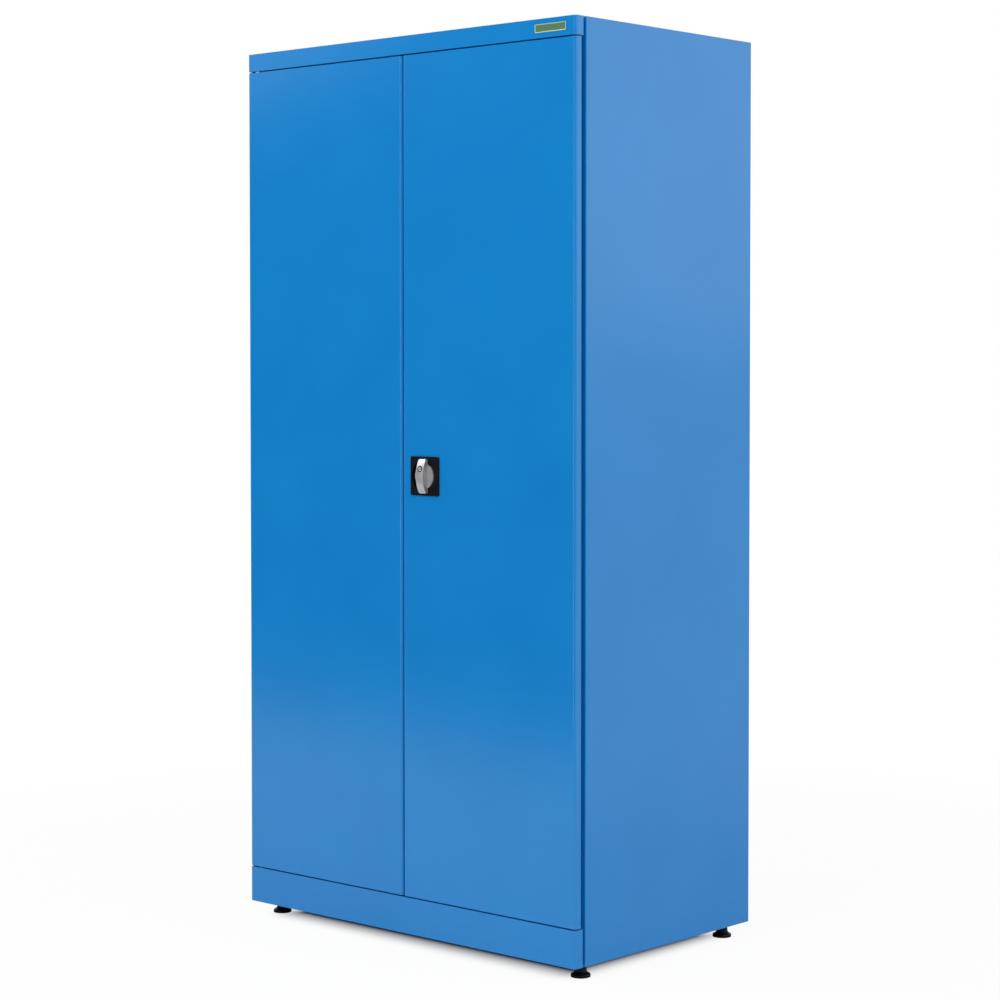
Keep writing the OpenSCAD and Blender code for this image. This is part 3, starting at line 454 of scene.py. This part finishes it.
def makeFloor():
    bm = bmesh.new()
    bmesh.ops.create_grid(bm, x_segments=1, y_segments=1, size=studioSizes["floor"] / 2)
    floor = addObject("paleFloor", bm)
    material = bpy.data.materials.new("whiteStudioPaper")
    material.use_nodes = True
    tree = material.node_tree
    tree.nodes.clear()
    paper = addNode(tree, "ShaderNodeBsdfDiffuse", None,
                    {"Color": linearColour(studioSizes["floorGrey"])}).outputs[0]
    seen = addNode(tree, "ShaderNodeLightPath")
    plain = addNode(tree, "ShaderNodeEmission", None,
                    {"Color": (1, 1, 1, 1), "Strength": 1.0}).outputs[0]
    place = addNode(tree, "ShaderNodeTexCoord").outputs["Object"]

    # White paper in view: the shadow fades from well under the cabinet to its outline.
    sides = addNode(tree, "ShaderNodeVectorMath", {"operation": "ABSOLUTE"}, None, {0: place})
    beyond = addNode(tree, "ShaderNodeVectorMath", {"operation": "SUBTRACT"},
                     {1: (studioSizes["shadeX"], studioSizes["shadeY"], 0)}, {0: sides.outputs[0]})
    outside = addNode(tree, "ShaderNodeVectorMath", {"operation": "MAXIMUM"}, {1: (0, 0, 0)},
                      {0: beyond.outputs[0]})
    share = addNode(tree, "ShaderNodeVectorMath", {"operation": "DIVIDE"},
                    {1: (studioSizes["fadeX"], studioSizes["fadeY"], 1)}, {0: outside.outputs[0]})
    away = addNode(tree, "ShaderNodeVectorMath", {"operation": "LENGTH"}, None,
                   {0: share.outputs[0]})
    under = addNode(tree, "ShaderNodeMapRange", None, {"To Min": 1.0, "To Max": 0.0},
                    {"Value": away.outputs["Value"]})
    soft = addNode(tree, "ShaderNodeMath", {"operation": "POWER"}, {1: 2.0},
                   {0: under.outputs["Result"]})
    shade = addNode(tree, "ShaderNodeMapRange", None,
                    {"To Min": studioSizes["shadeLeft"], "To Max": 1.0}, {"Value": soft.outputs[0]})
    reach = addNode(tree, "ShaderNodeVectorMath", {"operation": "LENGTH"}, None, {0: place})
    fade = addNode(tree, "ShaderNodeMapRange", {"interpolation_type": "SMOOTHSTEP"},
                   {"From Min": studioSizes["whiteFrom"], "From Max": studioSizes["whiteTo"],
                    "To Min": 1.0, "To Max": 0.0}, {"Value": reach.outputs["Value"]})
    near = fade.outputs["Result"]
    seenShade = addNode(tree, "ShaderNodeMath", {"operation": "MULTIPLY"}, None,
                        {0: shade.outputs["Result"], 1: near})
    inView = mixShaders(tree, seenShade.outputs[0], plain, paper)

    # In reflections the near floor is paper as lit, and the far floor is white.
    inGloss = mixShaders(tree, near, plain, paper)
    lit = mixShaders(tree, mirrored(tree, seen), paper, inGloss)
    both = mixShaders(tree, seen.outputs["Is Camera Ray"], lit, inView)
    addNode(tree, "ShaderNodeOutputMaterial", None, None, {"Surface": both})
    wearMaterial(floor, material)


# Screens seen only in reflections. Each place is across, forward and top edge, in metres.
leftCloth = [(-5.6, -2.2, 2.0), (-3.6, -2.72, 2.2), (-2.5, -2.62, 2.42), (-1.7, -2.52, 2.9),
             (-0.2, -2.38, 3.6)]
rightCloth = [(0.14, -2.36, 3.6), (3.1, -2.1, 3.6)]
stripLight = [(-0.2, -2.38, 3.6), (0.14, -2.36, 3.6)]      # draws the light line on the door's bend
softBox = {"at": (-3.5, -1.3, 4.8), "size": 3.2, "glow": 1.5}    # lights the level folds' rounds
screenLooks = {"foot": 10 * mm, "stripGlow": 4.0, "colour": "17181b", "roughness": 0.9}


def onlyReflected(name, bm, glow):
    screen = addObject(name, bm)
    material = newMaterial(name + "Cloth", {
        "Base Color": linearColour(screenLooks["colour"]), "Roughness": screenLooks["roughness"],
        "Specular IOR Level": 0.0, "Emission Color": (1, 1, 1, 1), "Emission Strength": glow})[0]
    wearMaterial(screen, material)
    screen.visible_camera = False
    screen.visible_diffuse = False
    screen.visible_shadow = False
    screen.visible_transmission = False


def makeCloth(name, places, glow=0):
    bm = bmesh.new()
    foot = [bm.verts.new((x, y, screenLooks["foot"])) for x, y, z in places]
    for pair in zip(foot, foot[1:]):
        bm.edges.new(pair)
    made = bmesh.ops.extrude_edge_only(bm, edges=list(bm.edges))
    for vert in made["geom"]:
        if isinstance(vert, bmesh.types.BMVert):
            vert.co.z = min(places, key=lambda p: abs(p[0] - vert.co.x))[2]
    onlyReflected(name, bm, glow)


def makeSoftBox():
    bm = bmesh.new()
    bmesh.ops.create_grid(bm, x_segments=1, y_segments=1, size=softBox["size"] / 2)
    bmesh.ops.translate(bm, verts=bm.verts, vec=softBox["at"])
    onlyReflected("softBox", bm, softBox["glow"])


lampPlaces = {
    "front": {"at": (0.6, -5.0, 4.6), "to": (0, 0, 1.1), "size": (2.6, 2.0), "watts": 118},
    "right": {"at": (5.2, -2.0, 4.4), "to": (0.5, 0, 1.1), "size": (1.8, 2.0), "watts": 66},
    "farRight": {"at": (5.4, 0.9, 4.2), "to": (0.5, 0, 1.1), "size": (1.3, 2.4), "watts": 62},
    "rearRight": {"at": (4.4, 4.1, 2.6), "to": (0.5, 0, 1.6), "size": (3.2, 2.4), "watts": 15},
    "frontLeft": {"at": (-4.6, -2.6, 4.5), "to": (0, 0, 1.2), "size": (2.4, 1.6), "watts": 90},
}


def addLamp(name, at, to, size, watts):
    data = bpy.data.lights.new(name, "AREA")
    data.shape = "RECTANGLE"
    data.size, data.size_y = size
    data.energy = watts
    lamp = bpy.data.objects.new(name, data)
    bpy.context.scene.collection.objects.link(lamp)
    lamp.location = at
    lamp.rotation_mode = "QUATERNION"
    lamp.rotation_quaternion = (Vector(to) - Vector(at)).to_track_quat("-Z", "Y")


makeWorld()
makeFloor()
makeCloth("leftCloth", leftCloth)
makeCloth("rightCloth", rightCloth)
makeCloth("stripLight", stripLight, screenLooks["stripGlow"])
makeSoftBox()
for name, lamp in lampPlaces.items():
    addLamp(name, **lamp)
print("studio")


# Camera

cameraPlace = {"at": (3.7958, -4.1492, 1.2867), "turn": 41.866, "down": 1.893,
               "lens": 88.77, "sensor": 36, "across": -0.02, "shift": -0.055}


def makeCamera():
    data = bpy.data.cameras.new("photoCamera")
    data.lens = cameraPlace["lens"]
    data.sensor_width = cameraPlace["sensor"]
    data.shift_x = cameraPlace["across"]
    data.shift_y = cameraPlace["shift"]
    camera = bpy.data.objects.new("photoCamera", data)
    bpy.context.scene.collection.objects.link(camera)
    camera.location = cameraPlace["at"]
    camera.rotation_euler = (math.radians(90 - cameraPlace["down"]), 0,
                             math.radians(cameraPlace["turn"]))
    bpy.context.scene.camera = camera


makeCamera()
bpy.context.scene.view_settings.view_transform = "Standard"
